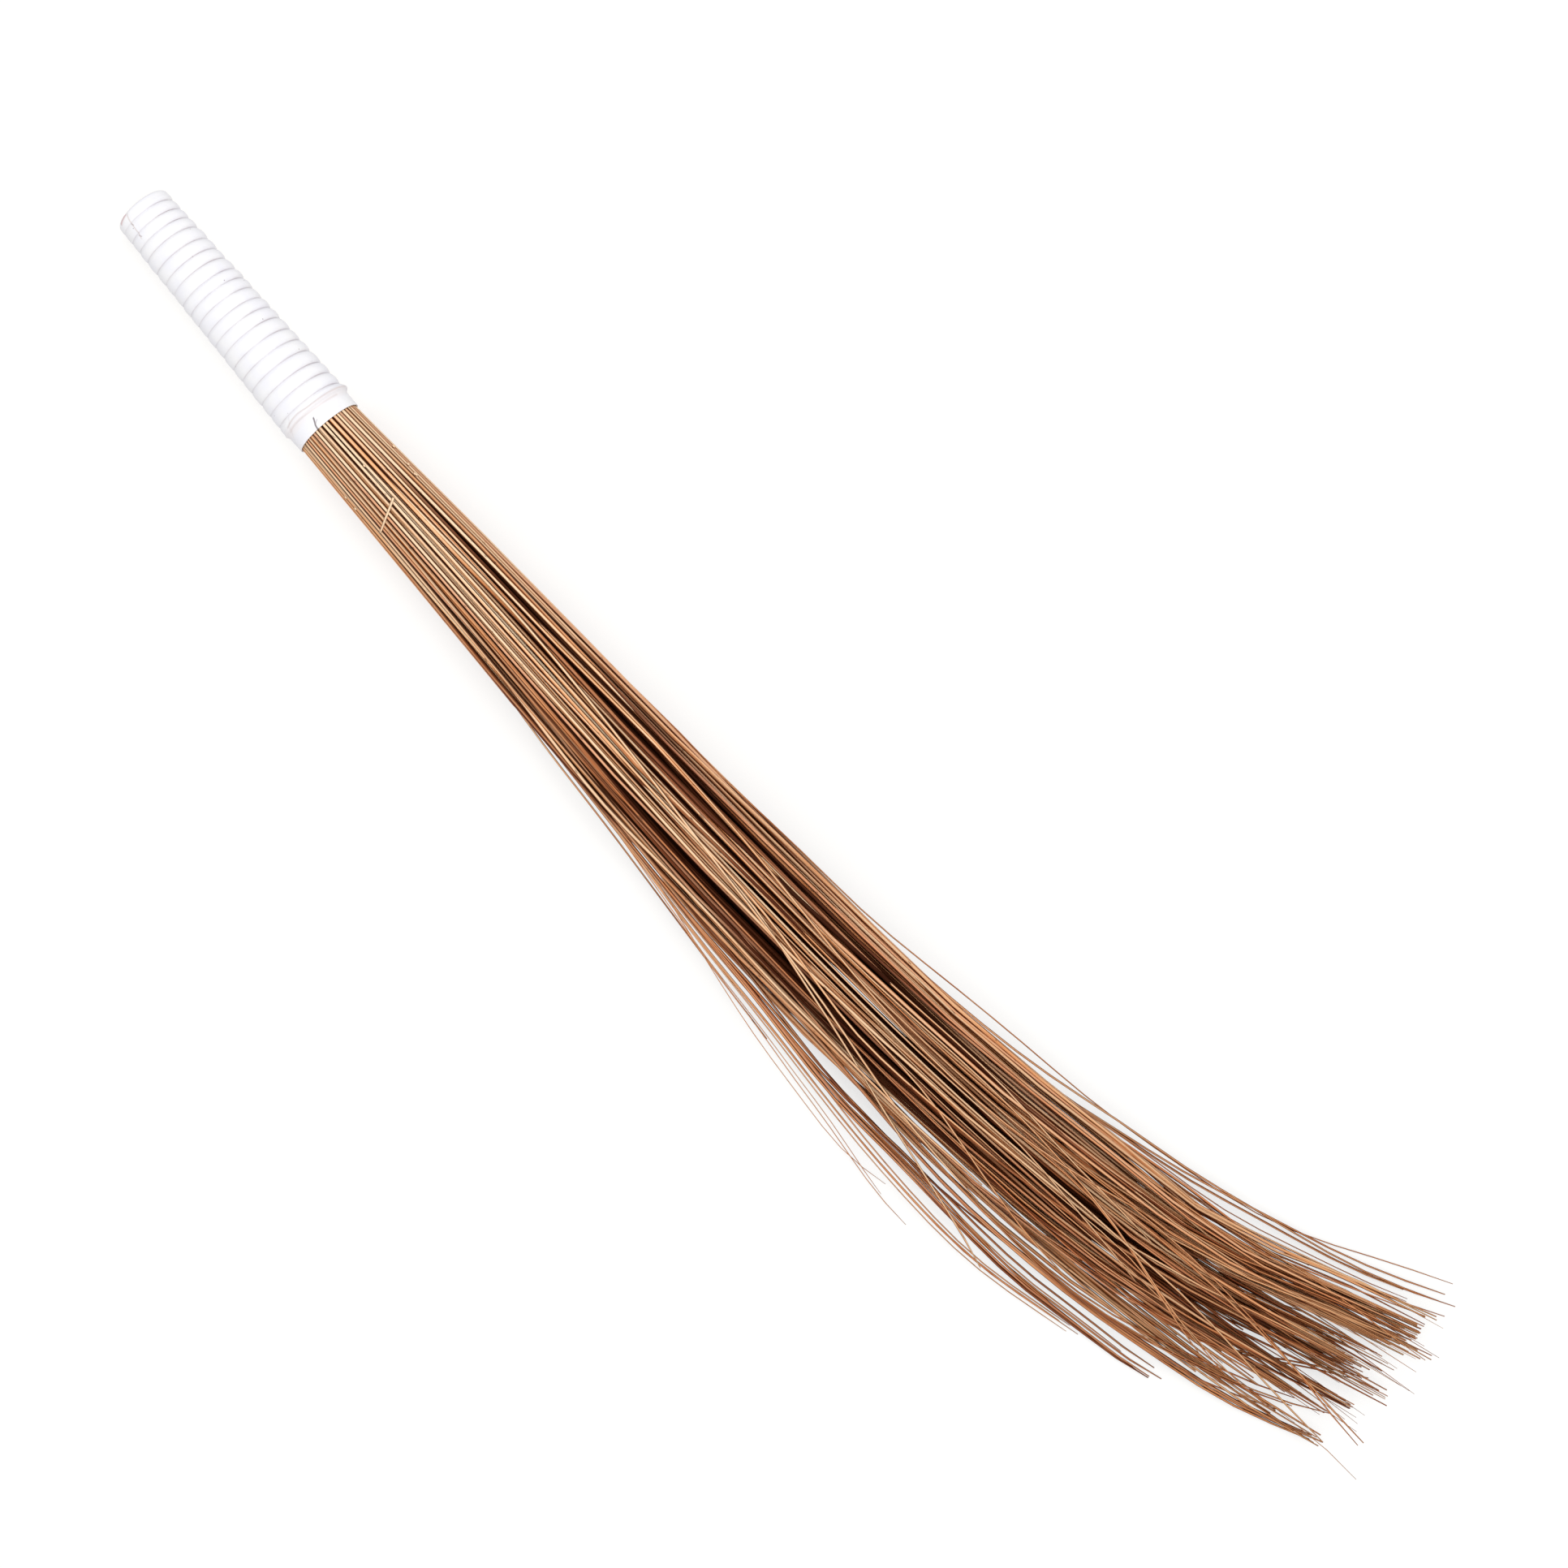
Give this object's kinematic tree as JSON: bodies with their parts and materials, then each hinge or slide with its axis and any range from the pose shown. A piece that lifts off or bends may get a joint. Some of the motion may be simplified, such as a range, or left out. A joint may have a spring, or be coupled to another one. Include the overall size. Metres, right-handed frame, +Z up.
{
  "type": "coconut stick broom",
  "caption": "Hand broom of coconut palm leaf ribs: a ribbed grip in shrunk white film holds their packed butts, and their thin ends fan out in a swept brush.",
  "frame": {"origin": "on the floor, under the middle of the broom's bounding box, the broom lying on its side", "axes": "+X from the butt of the handle to the tips, +Y to the side that the brush sweeps to, +Z up"},
  "size_m": [0.9702, 0.2284, 0.0465],
  "materials": {
    "sticks": "dry peeled leaf ribs, satin, from straw tan to reddish brown, with fine streaks along them",
    "wire": "annealed binding wire",
    "cord": "twisted fibre cord, pressed flat",
    "film": "white heat-shrunk film, softly glossy"
  },
  "bodies": {
    "root": {"sticks_core": "sticks", "sticks_inner": "sticks", "sticks_middle": "sticks", "sticks_outer": "sticks", "tie_wire_butt": "wire", "tie_wire_middle": "wire", "tie_wire_collar": "wire", "grip_cord": "cord", "shrink_sleeve": "film"}
  },
  "joints": []
}
